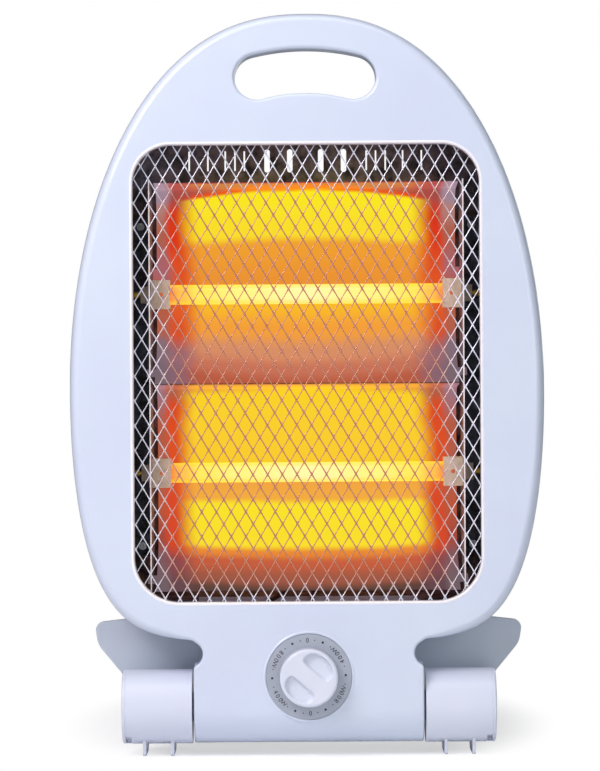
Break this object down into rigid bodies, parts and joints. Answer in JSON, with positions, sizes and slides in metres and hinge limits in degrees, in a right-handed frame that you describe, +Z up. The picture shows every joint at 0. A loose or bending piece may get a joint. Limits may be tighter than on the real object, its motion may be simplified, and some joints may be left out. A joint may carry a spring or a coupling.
{
  "type": "quartz radiant heater",
  "caption": "Portable quartz heater in an egg-shaped white housing with a handle slot, mesh grille, glowing tubes in mirrored troughs, a rotary power knob and folding feet.",
  "frame": {"origin": "on the floor under the middle of the overall box: the feet stand on Z = 0", "axes": "+X to the viewer's right across the heater, +Y to the back, +Z up; the grille faces -Y"},
  "size_m": [0.2856, 0.081, 0.4472],
  "materials": {
    "housing_white": "satin cool white moulding",
    "steel": "zinc-plated steel",
    "mesh_steel": "plated expanded steel mesh",
    "reflector_metal": "polished sheet that mirrors the glowing tubes",
    "quartz": "frosted quartz glass, lit from inside",
    "glowing_wire": "resistance wire at glowing heat",
    "ceramic": "matte cream ceramic",
    "brass": "plain brass",
    "black_plastic": "matte heat-resistant moulding",
    "dial_grey": "matte grey disc",
    "knob_white": "satin white moulding",
    "black_rubber": "matte soft rubber",
    "wire_sleeve": "dark silicone sleeve",
    "foot_white": "satin white moulding"
  },
  "bodies": {
    "heater": {"front_housing": "housing_white", "rear_housing": "housing_white", "case_screws": "steel", "grille_mesh": "mesh_steel", "grille_retainer": "steel", "retainer_screws": "steel", "reflector_upper": "reflector_metal", "reflector_lower": "reflector_metal", "end_plate_left": "steel", "end_plate_right": "steel", "end_plate_screws": "steel", "quartz_tube_upper": "quartz", "quartz_tube_lower": "quartz", "heating_coil_upper": "glowing_wire", "heating_coil_lower": "glowing_wire", "tube_cap_upper_left": "ceramic", "tube_cap_upper_right": "ceramic", "tube_cap_lower_left": "ceramic", "tube_cap_lower_right": "ceramic", "cap_clips": "steel", "tube_terminals": "brass", "thermal_cutout": "black_plastic", "cutout_rivets": "steel", "dial_plate": "dial_grey", "switch_body": "black_plastic", "switch_cover": "black_plastic", "switch_terminals": "brass", "switch_screws": "steel", "tip_switch_case": "black_plastic", "tip_switch_cover": "black_plastic", "tip_switch_pin": "steel", "tip_switch_screws": "steel", "terminal_block": "ceramic", "terminal_block_screws": "steel", "cord_gland": "black_rubber", "wire_tube_link": "wire_sleeve", "wire_neutral": "wire_sleeve", "wire_upper_tube": "wire_sleeve", "wire_lower_tube": "wire_sleeve", "wire_live": "wire_sleeve", "wire_cutout_feed": "wire_sleeve", "wire_cutout_return": "wire_sleeve", "wire_earth": "wire_sleeve", "friction_ring_left": "black_rubber", "friction_ring_right": "black_rubber"},
    "left_foot": {"foot_left": "foot_white", "foot_cap_left": "foot_white", "foot_retainer_left": "steel", "foot_screw_left": "steel"},
    "right_foot": {"foot_right": "foot_white", "foot_cap_right": "foot_white", "foot_retainer_right": "steel", "foot_screw_right": "steel"},
    "knob": {"control_knob": "knob_white", "switch_shaft": "steel"},
    "tip_over_weight": {"tip_switch_pendulum": "brass"}
  },
  "joints": [
    {"name": "left_foot_hinge", "type": "hinge", "parent": "heater", "child": "left_foot", "pos_m": [-0.0704, -0.0055, 0.0293], "axis": [-1, 0, 0], "range_deg": [0, 90]},
    {"name": "right_foot_hinge", "type": "hinge", "parent": "heater", "child": "right_foot", "pos_m": [0.0704, -0.0055, 0.0293], "axis": [-1, 0, 0], "range_deg": [0, 90]},
    {"name": "knob_turn", "type": "hinge", "parent": "heater", "child": "knob", "pos_m": [0, -0.0275, 0.0486], "axis": [0, 1, 0], "continuous": true},
    {"name": "tip_over_swing", "type": "hinge", "parent": "heater", "child": "tip_over_weight", "pos_m": [-0.036, -0.0081, 0.0685], "axis": [1, 0, 0], "range_deg": [-15, 15]}
  ]
}
